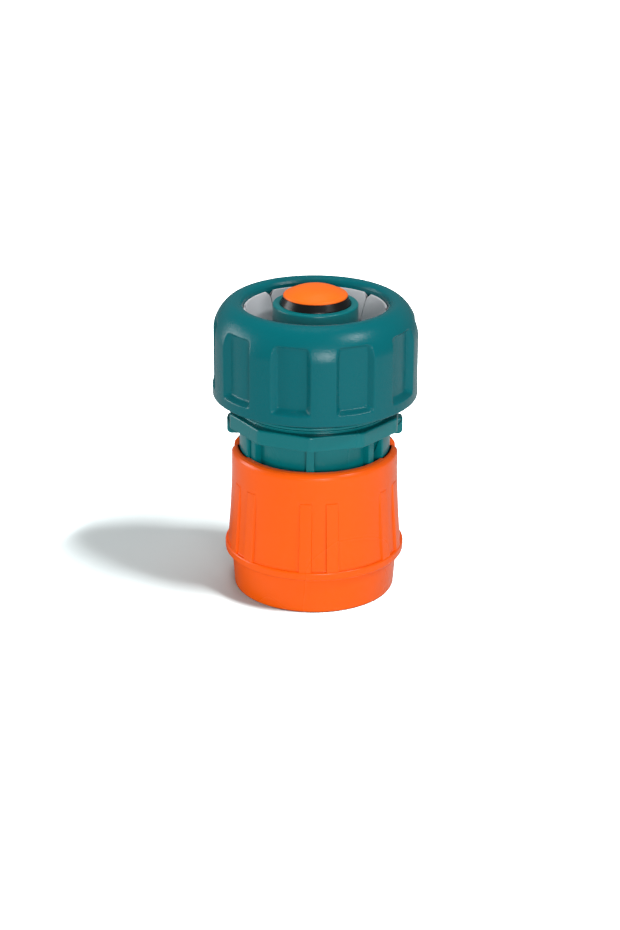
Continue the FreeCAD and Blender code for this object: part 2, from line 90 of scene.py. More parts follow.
# Hose nut
NUT_FOOT_ROUND = 0.35
NUT_FOOT_DROP = 0.25
NUT_CHAMFER = 0.5
NUT_LIP_R = 15.9
NUT_LIP_ROUND = 1.6
NUT_CONE_TOP = (16.0, 65.6)
NUT_CONE_FOOT = (17.9, 59.4)
NUT_RELIEF_Z = 58.2
NUT_BEAD_R = 17.4
NUT_BEAD_TOP_Z = 57.45
NUT_BEAD_LOW_Z = 57.05
NUT_BORE_TOP_Z = 56.5
NUT_BORE_R = 18.15
POCKET_COUNT = 10
POCKET_AZIMUTH = 22.5
POCKET_LEDGE_RISE = 1.0
POCKET_TOP_Z = 63.3
POCKET_TOP_RISE = 1.2
POCKET_CORNER = 0.8       # softness where a pocket's sides meet its ledge
POCKET_FILLET = 0.15      # softness at the foot of a pocket's sides
POCKET_EDGE = 0.16        # softness of a pocket's outer edges
DOME_POINTS = 60

# Thread between nut and body
THREAD_PITCH = 3.0
THREAD_HEIGHT = 0.8
THREAD_CREST = 0.5
THREAD_FLANK = 0.5
THREAD_LOW_Z = 44.9
THREAD_TOP_Z = 55.8
THREAD_FADE = 0.6

# Body
NOSE_R = 14.3
SPIGOT_BORE_R = 11.62
SPIGOT_TOP_Z = 31.1
NECK_R = 14.75
NECK_FOOT_Z = 31.5
FLANGE_CORNER_R = 19.6
FLANGE_ROUND = 2.2
FLANGE_LOW_Z = 39.1
FLANGE_TOP_Z = 42.5
FLANGE_SIDES = 10
BODY_PHASE = -3.5
CORE_R = 17.2
COLLAR_R = 18.05
COLLAR_LOW_Z = 43.5
COLLAR_TOP_Z = 44.1
BEAD_R = 17.95
BEAD_LOW_Z = 43.1
BEAD_TOP_Z = 43.36
GROOVE_R = 17.5
BOSS_BORE_R = 14.8
BOSS_TOP_Z = 56.5
BOSS_CHAMFER = 0.6
TROUGH_Z = 48.2
TAIL_R = 9.48
TAIL_BORE_R = 7.2
TAIL_LIP = 0.45
SEAT_MOUTH_R = 8.0
SEAT_DEPTH = 1.1
BORE_CONE_Z = 40.5
CHAMBER_R = 8.8
CHAMBER_TOP_Z = 37.0
BARB_COUNT = 3
BARB_FIRST_Z = 49.0
BARB_PITCH = 2.6
BARB_RISE = 0.45
BARB_LENGTH = 1.8
EAR_INNER_R = 17.15
EAR_OUTER_R = 19.75
EAR_LOW_Z = 35.8
EAR_ROUND = 1.0
EAR_AZIMUTH = 95.5
EAR_HALF_DEG = 5.0
LUG_R = 16.9
LUG_LOW_Z = 32.0
LUG_HALF_DEG = 27.5
RIB_R = 16.27
RIB_WIDTH = 1.85
RIB_SPREAD_DEG = 54.0
ROOT_DEPTH = 0.9          # how far ribs and lugs are sunk in the neck
FLANGE_REACH = 0.5        # how far ears, ribs and lugs run up into the flange
GUIDE_HOLE_R = 2.0
GUIDE_HUB_R = 3.6
GUIDE_LOW_Z = 46.0
GUIDE_TOP_Z = 50.5
GUIDE_ARMS = 3
GUIDE_ARM_WIDTH = 1.4
GUIDE_ARM_REACH = 0.5     # how far an arm starts outside the hole and ends inside the wall
GUIDE_ARM_INSET = 0.1     # how far an arm stays short of the hub's two ends

# Grip collet
COLLET_BORE_R = 13.4
COLLET_STEM_R = 14.65
COLLET_FLANGE_LOW_Z = 57.0
COLLET_FLANGE_HIGH_Z = 58.05
COLLET_STEP_R = 17.0
COLLET_CONE_Z = 59.2
COLLET_RIM_R = 15.8
COLLET_RIM_RISE = 0.3
COLLET_MOUTH_R = 15.45
COLLET_FUNNEL_Z = 59.6
COLLET_ROOT_Z = 52.0
FINGER_COUNT = 8
FINGER_PHASE = -3.5
FINGER_SLOT = 0.14
FINGER_REACH = 0.3        # how far the fingers run down into the ring
NOTCH_WIDTH = 2.2
NOTCH_DEPTH = 1.1

# Water-stop valve
HEAD_RIM_Z = 68.35
HEAD_UNDER_Z = 68.4
HEAD_EDGE = 0.55
HEAD_CROWN_POWER = 2.8
CROWN_POINTS = 24
STEM_R = 1.9
STEM_COLLAR_R = 6.2
STEM_COLLAR_THICK = 0.9
STEM_FLARE = 1.2
SEAL_CORE_R = 5.0
SEAL_GAP = 0.02           # clearance over the seal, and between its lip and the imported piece's
SEAL_CORE_GAP = 0.03
SEAL_FOOT_R = 7.14
SEAL_LIP_Z = 66.72
SEAL_SHOULDER_R = 7.0

# Release sleeve
FOOT_R = 18.2
FOOT_ROUND = 0.5
SKIRT_TOP_R = 18.8
RING_LOW_Z = 8.7
RING_TOP_Z = 10.65
RING_EDGE = 0.4
WALL_FOOT_R = 19.65
WALL_BEND = (19.1, 18.5)
WALL_TOP_R = 18.7
WALL_TOP_Z = 28.0
RIM_BORE_R = 16.42
RIM_ROUND = 1.35
RIM_INNER_ROUND = 0.4
LEDGE_Z = 14.5
LAND_R = 14.45
CAM_TOP_Z = 12.5
CAM_LOW_Z = 8.0
CAM_LOW_R = 15.88
MOUTH_R = 16.45
MOUTH_CHAMFER = 0.4
KEY_R = 17.2
KEY_LOW_Z = 27.1
KEY_HALF_DEG = 28.7
NOTCH_AZIMUTH = 95.5
NOTCH_HALF_DEG = 6.4
NOTCH_DROP = 2.0
RIB_PAIRS = 6
RIB_PAIR_AZIMUTH = 3.0
RIB_STEP_DEG = 17.7
RIB_HALF_DEG = 4.1
RIB_TOP_Z = 26.5
RIB_FOOT_RISE = 0.42
RIB_TOP_RISE = 0.2
RIB_SIDE_DEG = 0.22       # how wide a rib's side is, seen from the front
WALL_POINTS = 16
KEY_EDGE_DEG = 0.3        # softness of a key slot's sides
NOTCH_EDGE_DEG = 0.5      # softness of a rim notch's sides

# Springs
COIL_TURNS = 6.0
SLEEVE_WIRE_R = 0.6
SLEEVE_TRAVEL = 4.4
VALVE_WIRE_R = 0.35
VALVE_TRAVEL = 4.0

# Spacing of the points along the outlines
NUT_FOOT_STEP = 0.8
NUT_LEDGE_STEP = 0.15
NUT_SIDE_STEP = 0.9
NUT_DOME_STEP = 0.25
NUT_BORE_STEP = 0.35
BODY_STEP = 0.9
EAR_STEP = 0.5
NECK_BAR_STEP = 0.6
GUIDE_STEP = 0.8
COLLET_RING_STEP = 0.6
FINGER_STEP = 0.3
SLEEVE_STEP = 0.6
HEAD_STEP = 0.4
SEAL_STEP = 0.25

# Spacing of the columns round the axis, in degrees
NUT_COLUMN_DEG = 1.6
BODY_COLUMN_DEG = 2.5
SLEEVE_COLUMN_DEG = 2.0
VALVE_COLUMN_DEG = 2.5
COLLET_COLUMN_DEG = 3.0
HUB_COLUMN_DEG = 7.5

# Studio, whose lengths are in metres
LIGHT_AIM = (0.0, 0.0, 0.034)
WORLD_LEVEL = 0.18        # strength of the world for all rays but the camera's
FLOOR_BOUNCE = 0.13       # grey of the floor for all rays but the camera's
FLOOR_HALF = 3.0
FLOOR_Z = -0.00003
GLOW_START = 0.057        # distance from the axis where the floor's white glow sets in
GLOW_END = 0.16
CAMERA_AIM = (-0.00104, 0.0, 0.02825)
CAMERA_ROLL_DEG = 0.27


def azimuth_edges(first, count, *offsets):
    """Azimuths of edges that repeat evenly round the axis, from their offsets to each middle."""
    middles = first + np.arange(count) * 360.0 / count
    return (middles[:, None] + np.array(offsets)).ravel()


def azimuth_columns(edges, step, spread):
    """Row of azimuths all round: a step apart, and on both sides of each edge those of the spread."""
    beside = np.r_[-np.array(spread)[::-1], 0.0, spread]
    near = np.unique(np.round((np.array(edges)[:, None] + beside).ravel() % 360.0, 3))
    even = np.arange(0.0, 360.0, step)
    gap = np.abs((even[:, None] - near + 180.0) % 360.0 - 180.0).min(axis=1)
    return np.sort(np.r_[near, even[gap > step / 3]])[None, :]


def off_middle(azimuth, first, count):
    """Signed angle from the nearest of several middles that repeat evenly."""
    turn = 360.0 / count
    return (azimuth - first + turn / 2) % turn - turn / 2


def soft_min(a, b, width):
    """Smaller of two values, with a rounding about as wide as width where they meet."""
    return 0.5 * (a + b - np.sqrt((a - b) ** 2 + width ** 2))


def soft_max(a, b, width):
    """Larger of two values, rounded where they meet."""
    return -soft_min(-a, -b, width)


def ramp(value, start, end):
    """Smooth step from 0 at start to 1 at end."""
    t = np.clip((value - start) / (end - start), 0.0, 1.0)
    return t * t * (3.0 - 2.0 * t)


def rounded(*corners):
    """Points of an r-z outline whose corners (r, z, radius) are rounded.

    With f half the angle between the two sides, the arc's middle lies radius / sin f along their
    bisector, and the arc starts radius / tan f from the corner along each side.
    """
    data = np.array(corners, float)
    points, radius = data[:, :2], data[:, 2:]
    back = np.roll(points, 1, axis=0) - points
    ahead = np.roll(points, -1, axis=0) - points
    back /= np.linalg.norm(back, axis=1, keepdims=True)
    ahead /= np.linalg.norm(ahead, axis=1, keepdims=True)
    cosine = np.clip((back * ahead).sum(axis=1, keepdims=True), -0.999999, 0.999999)
    half = np.arccos(cosine) / 2
    bisector = back + ahead
    bisector /= np.maximum(np.linalg.norm(bisector, axis=1, keepdims=True), 1e-9)
    middle = points + bisector * radius / np.sin(half)
    first = points + back * radius / np.tan(half) - middle
    last = points + ahead * radius / np.tan(half) - middle
    sweep = np.pi - 2 * half
    t = np.linspace(0.0, 1.0, ARC_STEPS)[:, None, None]
    arc = middle + (np.sin((1 - t) * sweep) * first + np.sin(t * sweep) * last) / np.sin(sweep)
    line = arc.transpose(1, 0, 2).reshape(-1, 2)
    apart = np.linalg.norm(np.diff(line, axis=0), axis=1) > 1e-5
    return line[np.r_[True, apart]]


def refined(line, step):
    """An outline with more points: two beside each long stretch's ends, and others a step apart."""
    along = np.r_[0.0, np.cumsum(np.linalg.norm(np.diff(line, axis=0), axis=1))]
    long = np.diff(along) > 3 * HOLD
    fixed = np.r_[along, along[:-1][long] + HOLD, along[1:][long] - HOLD]
    even = np.arange(0.0, along[-1], step)
    even = even[np.abs(even[:, None] - fixed).min(axis=1) > step / 3]
    places = np.sort(np.r_[fixed, even])
    return np.stack([np.interp(places, along, line[:, 0]), np.interp(places, along, line[:, 1])], axis=1)


def closed(line, step):
    """A refined outline that comes back to its first point, which isn't repeated."""
    return refined(np.vstack([line, line[:1]]), step)[:-1]


def placed(r, z, azimuth):
    """Points in space of a radius, a height and an azimuth, one for each cell of their grid."""
    r, z, azimuth = np.broadcast_arrays(r, z, np.radians(azimuth))
    return np.stack([r * np.sin(azimuth), -r * np.cos(azimuth), z], axis=-1)


def grid_shell(points, close_rows, close_columns):
    """Vertices and four-sided faces of a grid of points, joined round where a way closes."""
    rows, columns = points.shape[:2]
    row = np.arange(rows if close_rows else rows - 1)[:, None]
    column = np.arange(columns if close_columns else columns - 1)[None, :]
    up, right = (row + 1) % rows, (column + 1) % columns
    faces = np.stack([
        row * columns + column,
        row * columns + right,
        up * columns + right,
        up * columns + column,
    ], axis=-1)
    return points.reshape(-1, 3), faces.reshape(-1, 4)


def lathe(line, step):
    """Shell of an outline turned about the axis; one whose ends lie on the axis closes there."""
    azimuth = np.arange(0.0, 360.0, step)
    on_axis = abs(line[0, 0]) < 1e-6 and abs(line[-1, 0]) < 1e-6
    points = placed(line[:, :1], line[:, 1:], azimuth[None, :])
    return grid_shell(points, not on_axis, True)


def bar_shell(line, azimuth, half, edge, columns=9):
    """Shell of a closed outline swept over an angle, whose two ends are rounded inwards.

    The half angle is one number, or one for each point of the outline. Near the ends the outline
    shrinks along its inward normal as a quarter circle of the edge's radius.
    """
    tangent = np.roll(line, -1, axis=0) - np.roll(line, 1, axis=0)
    inward = np.stack([-tangent[:, 1], tangent[:, 0]], axis=1)
    inward /= np.linalg.norm(inward, axis=1, keepdims=True)
    quarter = np.linspace(0.0, np.pi / 2, ARC_STEPS)
    reach = edge * (1 - np.sin(quarter))
    inset = edge * (1 - np.cos(quarter))
    middle = np.zeros(columns)
    inset = np.r_[inset[::-1], middle, inset]
    back = np.r_[reach[::-1], middle + edge, reach]
    side = np.r_[-np.ones(ARC_STEPS), np.linspace(-1.0, 1.0, columns + 2)[1:-1], np.ones(ARC_STEPS)]
    full = np.broadcast_to(np.atleast_1d(half), (len(line),))[:, None]
    shrunk = line[:, None, :] + inward[:, None, :] * inset[None, :, None]
    turned = azimuth + side * (full - np.degrees(back / line[:, :1]))
    return grid_shell(placed(shrunk[..., 0], shrunk[..., 1], turned), True, False)


def width_half(line, width):
    """Half angle at each point of an outline that gives a bar the same width all along."""
    return np.degrees(np.arcsin(np.clip(width / 2 / line[:, 0], 0.0, 1.0)))


def coil_shell(mean_r, wire_r, low_z, high_z, turns, sides=14, steps=48):
    """Round wire along a helix whose first and last turns lie close.

    The wire's section is carried by the line's outward direction and the one square to it.
    """
    rise = high_z - low_z - 2 * wire_r
    turn = np.linspace(0.0, turns, int(turns * steps) + 1)
    close = 2.1 * wire_r
    z = low_z + wire_r + np.interp(turn, [0, 1, turns - 1, turns], [0, close, rise - close, rise])
    line = placed(mean_r, z, 360.0 * turn)
    outward = line * np.array([1.0, 1.0, 0.0])
    outward /= np.linalg.norm(outward, axis=1, keepdims=True)
    tangent = np.gradient(line, axis=0)
    tangent /= np.linalg.norm(tangent, axis=1, keepdims=True)
    upward = np.cross(tangent, outward)
    angle = np.linspace(0.0, 2 * np.pi, sides, endpoint=False)[None, :, None]
    section = np.cos(angle) * outward[:, None, :] + np.sin(angle) * upward[:, None, :]
    return grid_shell(line[:, None, :] + wire_r * section, False, True)


def new_piece(name, shells, body, slot, material, *nodes):
    """Object made of shells, with a named material, which rides on a body and stands for CAD nodes.

    Points that fall together are merged, open ends are closed and the faces are turned outwards.
    """
    counts = np.cumsum([0] + [len(points) for points, faces in shells[:-1]])
    points = np.vstack([points for points, faces in shells]) * MM
    faces = np.vstack([faces + count for (_, faces), count in zip(shells, counts)])
    mesh = bpy.data.meshes.new(name)
    mesh.vertices.add(len(points))
    mesh.vertices.foreach_set("co", points.astype(np.float32).ravel())
    mesh.loops.add(faces.size)
    mesh.loops.foreach_set("vertex_index", faces.astype(np.int32).ravel())
    mesh.polygons.add(len(faces))
    mesh.polygons.foreach_set("loop_start", np.arange(0, faces.size, 4, dtype=np.int32))
    mesh.update(calc_edges=True)
    work = bmesh.new()
    work.from_mesh(mesh)
    bmesh.ops.remove_doubles(work, verts=work.verts, dist=MERGE)
    rim = [edge for edge in work.edges if edge.is_boundary]
    bmesh.ops.holes_fill(work, edges=rim)
    bmesh.ops.recalc_face_normals(work, faces=work.faces)
    work.to_mesh(mesh)
    work.free()
    mesh.validate()
    mesh.polygons.foreach_set("use_smooth", np.ones(len(mesh.polygons), bool))
    mesh.set_sharp_from_angle(angle=math.radians(SHARP_DEG))
    piece = bpy.data.objects.new(name, mesh)
    bpy.context.scene.collection.objects.link(piece)
    mesh.materials.append(bpy.data.materials[material])
    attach(piece, body)
    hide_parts(*nodes)
    return piece


def dress(node, material):
    """Gives a CAD node that stays in view a named material."""
    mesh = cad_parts[node].data
    mesh.materials.clear()
    mesh.materials.append(bpy.data.materials[material])


def thread_ridge(z, azimuth, shift):
    """Height of the helical ridge, from 0 to 1, whose middle climbs one pitch a turn.

    Across the ridge the height is a flat crest between two straight flanks. It fades in and out at
    the thread's ends. The shift moves it along the axis, in pitches.
    """
    phase = (z / THREAD_PITCH - azimuth / 360.0 + shift) % 1.0
    away = np.abs(phase - 0.5) * THREAD_PITCH
    ridge = np.clip((THREAD_CREST / 2 + THREAD_FLANK - away) / THREAD_FLANK, 0.0, 1.0)
    start = ramp(z, THREAD_LOW_Z, THREAD_LOW_Z + THREAD_FADE)
    end = 1.0 - ramp(z, THREAD_TOP_Z - THREAD_FADE, THREAD_TOP_Z)
    return ridge * start * end


def nut_shell(settings):
    """Domed nut: a turned outline whose radius is cut back by ten slanting finger pockets.

    The dome is a superellipse. A pocket's radius is its floor's plus the largest of the rises of its
    sides, its ledge and its brow, and the nut's radius is the smaller of that and the outline's, with
    soft corners.
    """
    inset, drop = settings.dome_inset / MM, settings.dome_drop / MM
    depth = settings.pocket_depth / MM
    power = 2.0 / settings.dome_power
    floor_half, mouth_half = settings.pocket_floor / 2, settings.pocket_mouth / 2
    pocket_low = NUT_LOW + settings.pocket_foot / MM
    ledge_end = pocket_low + POCKET_LEDGE_RISE
    ledge_low = pocket_low - POCKET_EDGE
    ledge_high = ledge_end + 0.5
    foot_z = NUT_LOW - NUT_FOOT_DROP
    side_top = NUT_TOP - drop
    angle = np.linspace(0.0, np.pi / 2, DOME_POINTS)
    dome = np.stack([
        NUT_R - inset * (1 - np.cos(angle).clip(0.0) ** power),
        NUT_TOP - drop * (1 - np.sin(angle) ** power),
    ], axis=1)
    foot = rounded(
        (NUT_BORE_R + NUT_CHAMFER, foot_z, 0.0),
        (NUT_R, foot_z, NUT_FOOT_ROUND),
        (NUT_R, ledge_low, 0.0),
    )
    outside = np.vstack([
        refined(foot, NUT_FOOT_STEP)[:-1],
        refined(np.array([(NUT_R, ledge_low), (NUT_R, ledge_high)]), NUT_LEDGE_STEP)[:-1],
        refined(np.array([(NUT_R, ledge_high), (NUT_R, side_top)]), NUT_SIDE_STEP)[:-1],
        refined(dome, NUT_DOME_STEP)[:-1],
    ])
    inside = refined(rounded(
        (NUT_R - inset, NUT_TOP, 0.0),
        (NUT_LIP_R, NUT_TOP, NUT_LIP_ROUND),
        (*NUT_CONE_TOP, 0.15),
        (*NUT_CONE_FOOT, 0.2),
        (NUT_CONE_FOOT[0], NUT_RELIEF_Z, 0.15),
        (NUT_BEAD_R, NUT_BEAD_TOP_Z, 0.15),
        (NUT_BEAD_R, NUT_BEAD_LOW_Z, 0.15),
        (NUT_BORE_R, NUT_BORE_TOP_Z, 0.1),
        (NUT_BORE_R, foot_z + NUT_CHAMFER, 0.1),
        (NUT_BORE_R + NUT_CHAMFER, foot_z, 0.0),
    ), NUT_BORE_STEP)[:-1]
    line = np.vstack([outside, inside])
    azimuth = azimuth_columns(
        azimuth_edges(POCKET_AZIMUTH, POCKET_COUNT, -mouth_half, -floor_half, floor_half, mouth_half),
        NUT_COLUMN_DEG, spread=(0.12, 0.3, 0.6),
    )
    r, z = line[:, :1], line[:, 1:]
    away = np.abs(off_middle(azimuth, POCKET_AZIMUTH, POCKET_COUNT))
    side = depth * (away - floor_half) / (mouth_half - floor_half)
    ledge = depth * (ledge_end - z) / POCKET_LEDGE_RISE
    brow = depth * (z - POCKET_TOP_Z) / POCKET_TOP_RISE
    ends = soft_max(ledge, brow, POCKET_CORNER)
    rise = soft_max(soft_max(side, ends, POCKET_CORNER), 0.0, POCKET_FILLET)
    cut = soft_min(r, NUT_R - depth + rise, POCKET_EDGE)
    in_bore = (z < NUT_BORE_TOP_Z) & (r < NUT_BORE_R + 0.01)
    ridged = r - THREAD_HEIGHT * thread_ridge(z, azimuth, 0.5) * in_bore
    is_outside = np.arange(len(line))[:, None] < len(outside)
    return grid_shell(placed(np.where(is_outside, cut, ridged), z, azimuth), True, True)


def flange_radius(azimuth):
    """Radius of the ten-sided flange with rounded corners.

    Off a corner by an angle, a side lies at the apothem over the cosine of the angle to the side's
    middle, and the corner's arc where a ray from the axis meets its circle.
    """
    half = math.pi / FLANGE_SIDES
    off = np.abs(np.radians(off_middle(azimuth, BODY_PHASE, FLANGE_SIDES)))
    side = FLANGE_CORNER_R * math.cos(half) / np.cos(half - off)
    centre = FLANGE_CORNER_R - FLANGE_ROUND / math.cos(half)
    touch = math.atan2(FLANGE_ROUND * math.sin(half), centre + FLANGE_ROUND * math.cos(half))
    near = np.minimum(off, touch)
    arc = centre * np.cos(near) + np.sqrt(FLANGE_ROUND ** 2 - (centre * np.sin(near)) ** 2)
    return np.where(off < touch, arc, side)


def body_turned_shell():
    """Turned body: neck, ten-sided flange, threaded boss, trough and hose tail, with the bore."""
    barbs = []
    for index in range(BARB_COUNT):
        foot = BARB_FIRST_Z + index * BARB_PITCH
        barbs.append((TAIL_R, foot, 0.05))
        barbs.append((TAIL_R + BARB_RISE, foot, 0.08))
        barbs.append((TAIL_R, foot + BARB_LENGTH, 0.1))
    line = closed(rounded(
        (SPIGOT_BORE_R, BODY_LOW, 0.1),
        (NOSE_R, BODY_LOW, 0.15),
        (NOSE_R, NECK_FOOT_Z, 0.05),
        (NECK_R, NECK_FOOT_Z, 0.15),
        (NECK_R, FLANGE_LOW_Z, 0.3),
        (FLANGE_CORNER_R, FLANGE_LOW_Z, 0.2),
        (FLANGE_CORNER_R, FLANGE_TOP_Z, 0.4),
        (CORE_R, FLANGE_TOP_Z, 0.1),
        (CORE_R, BEAD_LOW_Z, 0.05),
        (BEAD_R, BEAD_LOW_Z, 0.08),
        (BEAD_R, BEAD_TOP_Z, 0.08),
        (GROOVE_R, BEAD_TOP_Z, 0.03),
        (GROOVE_R, COLLAR_LOW_Z, 0.03),
        (COLLAR_R, COLLAR_LOW_Z, 0.1),
        (COLLAR_R, COLLAR_TOP_Z, 0.2),
        (CORE_R, COLLAR_TOP_Z, 0.1),
        (CORE_R, BOSS_TOP_Z - BOSS_CHAMFER, 0.1),
        (CORE_R - BOSS_CHAMFER, BOSS_TOP_Z, 0.1),
        (BOSS_BORE_R, BOSS_TOP_Z, 0.15),
        (BOSS_BORE_R, TROUGH_Z, 0.3),
        (TAIL_R, TROUGH_Z, 0.3),
        *barbs,
        (TAIL_R, BODY_TOP, TAIL_LIP),
        (SEAT_MOUTH_R, BODY_TOP, 0.12),
        (TAIL_BORE_R, BODY_TOP - SEAT_DEPTH, 0.15),
        (TAIL_BORE_R, BORE_CONE_Z, 0.3),
        (CHAMBER_R, CHAMBER_TOP_Z, 0.3),
        (CHAMBER_R, SPIGOT_TOP_Z, 0.15),
        (SPIGOT_BORE_R, SPIGOT_TOP_Z, 0.15),
    ), BODY_STEP)
    corners = azimuth_edges(BODY_PHASE, FLANGE_SIDES, 0.0)
    azimuth = azimuth_columns(corners, BODY_COLUMN_DEG, spread=(0.6, 1.2, 1.8, 2.5, 3.2))
    r, z = line[:, :1], line[:, 1:]
    in_flange = (z > FLANGE_LOW_Z - 0.01) & (z < FLANGE_TOP_Z + 0.01) & (r > NECK_R)
    share = np.clip((r - CORE_R) / (FLANGE_CORNER_R - CORE_R), 0.0, 1.0) * in_flange
    on_core = (z > COLLAR_TOP_Z + 0.2) & (np.abs(r - CORE_R) < 0.01)
    shaped = r - share * (FLANGE_CORNER_R - flange_radius(azimuth))
    shaped = shaped + THREAD_HEIGHT * thread_ridge(z, azimuth, 0.0) * on_core
    return grid_shell(placed(shaped, z, azimuth), True, True)


def body_bar_shells():
    """Ears and lugs at the body's sides, the narrow ribs under the flange and the valve guide."""
    root = NECK_R - ROOT_DEPTH
    top = FLANGE_LOW_Z + FLANGE_REACH
    ear = closed(rounded(
        (EAR_INNER_R, EAR_LOW_Z, 0.25),
        (EAR_OUTER_R, EAR_LOW_Z, EAR_ROUND),
        (EAR_OUTER_R, top, 0.1),
        (EAR_INNER_R, top, 0.1),
    ), EAR_STEP)
    lug = closed(rounded(
        (root, LUG_LOW_Z, 0.1),
        (LUG_R, LUG_LOW_Z, 0.3),
        (LUG_R, top, 0.1),
        (root, top, 0.1),
    ), NECK_BAR_STEP)
    rib = closed(rounded(
        (root, NECK_FOOT_Z, 0.1),
        (RIB_R, NECK_FOOT_Z, 0.25),
        (RIB_R, top, 0.1),
        (root, top, 0.1),
    ), NECK_BAR_STEP)
    arm_start, arm_end = GUIDE_HOLE_R + GUIDE_ARM_REACH, TAIL_BORE_R + GUIDE_ARM_REACH
    arm_low, arm_high = GUIDE_LOW_Z + GUIDE_ARM_INSET, GUIDE_TOP_Z - GUIDE_ARM_INSET
    arm = closed(rounded(
        (arm_start, arm_low, 0.1),
        (arm_end, arm_low, 0.1),
        (arm_end, arm_high, 0.1),
        (arm_start, arm_high, 0.1),
    ), GUIDE_STEP)
    hub = closed(rounded(
        (GUIDE_HOLE_R, GUIDE_LOW_Z, 0.1),
        (GUIDE_HUB_R, GUIDE_LOW_Z, 0.25),
        (GUIDE_HUB_R, GUIDE_TOP_Z, 0.25),
        (GUIDE_HOLE_R, GUIDE_TOP_Z, 0.1),
    ), GUIDE_STEP)
    shells = [lathe(hub, HUB_COLUMN_DEG)]
    for side in (-1.0, 1.0):
        shells.append(bar_shell(ear, side * EAR_AZIMUTH, EAR_HALF_DEG, edge=0.35))
        shells.append(bar_shell(lug, side * 90.0, LUG_HALF_DEG, edge=0.3, columns=25))
    for side in (0.0, 180.0):
        for spread in (-RIB_SPREAD_DEG, 0.0, RIB_SPREAD_DEG):
            half = width_half(rib, RIB_WIDTH)
            shells.append(bar_shell(rib, BODY_PHASE + side + spread, half, edge=0.25))
    for arm_azimuth in azimuth_edges(0.0, GUIDE_ARMS, 0.0):
        shells.append(bar_shell(arm, arm_azimuth, width_half(arm, GUIDE_ARM_WIDTH), edge=0.1))
    return shells


def collet_shells():
    """Grip collet: a ring below, and eight springy fingers parted by slots that flare into notches."""
    ring = closed(rounded(
        (COLLET_BORE_R, COLLET_LOW, 0.2),
        (COLLET_STEM_R, COLLET_LOW, 0.3),
        (COLLET_STEM_R, COLLET_ROOT_Z, 0.0),
        (COLLET_BORE_R, COLLET_ROOT_Z, 0.0),
    ), COLLET_RING_STEP)
    rim_z = COLLET_TOP + COLLET_RIM_RISE
    finger = closed(rounded(
        (COLLET_BORE_R, COLLET_ROOT_Z - FINGER_REACH, 0.05),
        (COLLET_STEM_R, COLLET_ROOT_Z - FINGER_REACH, 0.05),
        (COLLET_STEM_R, COLLET_FLANGE_LOW_Z, 0.2),
        (COLLET_STEP_R, COLLET_FLANGE_LOW_Z, 0.2),
        (COLLET_R, COLLET_FLANGE_HIGH_Z, 0.2),
        (COLLET_R, COLLET_CONE_Z, 0.2),
        (COLLET_RIM_R, rim_z, 0.12),
        (COLLET_MOUTH_R, rim_z, 0.12),
        (COLLET_BORE_R, COLLET_FUNNEL_Z, 0.8),
    ), FINGER_STEP)
    opening = soft_max((finger[:, 1] - rim_z + NOTCH_DEPTH) / NOTCH_DEPTH, 0.0, 0.2)
    slot = FINGER_SLOT + (NOTCH_WIDTH - FINGER_SLOT) * opening
    half = 180.0 / FINGER_COUNT - np.degrees(slot / 2 / finger[:, 0])
    shells = [lathe(ring, COLLET_COLUMN_DEG)]
    for azimuth in azimuth_edges(FINGER_PHASE + 180.0 / FINGER_COUNT, FINGER_COUNT, 0.0):
        shells.append(bar_shell(finger, azimuth, half, edge=0.12, columns=25))
    return shells


